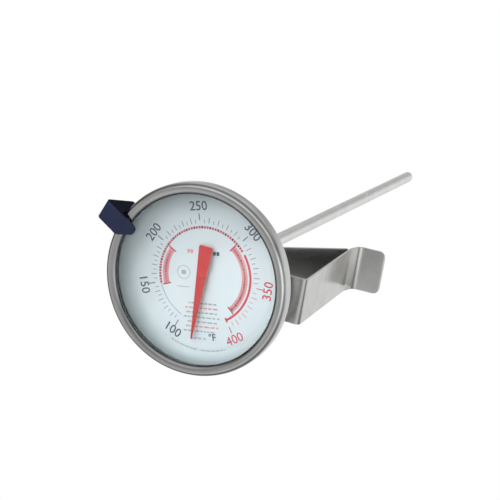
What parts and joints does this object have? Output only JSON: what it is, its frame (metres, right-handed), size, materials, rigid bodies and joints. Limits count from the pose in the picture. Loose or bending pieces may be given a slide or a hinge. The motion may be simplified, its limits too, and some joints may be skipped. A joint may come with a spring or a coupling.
{
  "type": "dial thermometer",
  "caption": "Bimetal stem thermometer with a round glazed dial, a set-point marker that slides round the rim and a folded spring clip that hangs it on the side of a pan.",
  "frame": {"origin": "on the stem axis, at the back face of the ferrule, where the bare stem begins", "axes": "+Y along the stem from the dial to the tip, +Z towards the top of the dial, so the dial faces -Y"},
  "size_m": [0.0633, 0.1923, 0.054],
  "materials": {
    "bezel_steel": "polished stainless steel",
    "case_steel": "satin stainless steel",
    "stem_steel": "ground stainless steel",
    "clip_steel": "rolled stainless strip, bright on the folds",
    "spindle_steel": "drawn wire",
    "bimetal_strip": "rolled bimetal strip",
    "brass": "turned",
    "lens_glass": "clear, flat",
    "gasket_rubber": "matt black",
    "dial_enamel": "satin white with printed scale",
    "pointer_red": "satin red",
    "bush_plastic": "white fluoropolymer",
    "marker_plastic": "moulded navy blue"
  },
  "bodies": {
    "head": {"bezel": "bezel_steel", "lens": "lens_glass", "lens_gasket": "gasket_rubber", "dial": "dial_enamel", "case": "case_steel", "bimetal_coil": "bimetal_strip", "coil_anchor": "brass", "stem_tube": "stem_steel", "tip_plug": "stem_steel", "upper_guide_bush": "bush_plastic", "middle_guide_bush": "bush_plastic", "lower_guide_bush": "bush_plastic", "sealing_washer": "gasket_rubber", "ferrule": "stem_steel", "ferrule_nut": "brass"},
    "pointer": {"pointer": "pointer_red", "pointer_hub": "brass", "spindle": "spindle_steel", "coil_collar": "brass"},
    "marker": {"temperature_marker": "marker_plastic"},
    "clip": {"pan_clip": "clip_steel"}
  },
  "joints": [
    {"name": "pointer_turn", "type": "hinge", "parent": "head", "child": "pointer", "pos_m": [0, 0, 0], "axis": [0, 1, 0], "range_deg": [-15, 325], "stiffness_Nm_per_rad": 0.0003},
    {"name": "marker_turn", "type": "hinge", "parent": "head", "child": "marker", "pos_m": [0, 0, 0], "axis": [0, 1, 0], "continuous": true},
    {"name": "clip_slide", "type": "slide", "parent": "head", "child": "clip", "axis": [0, 1, 0], "range_m": [0, 0.12]}
  ]
}
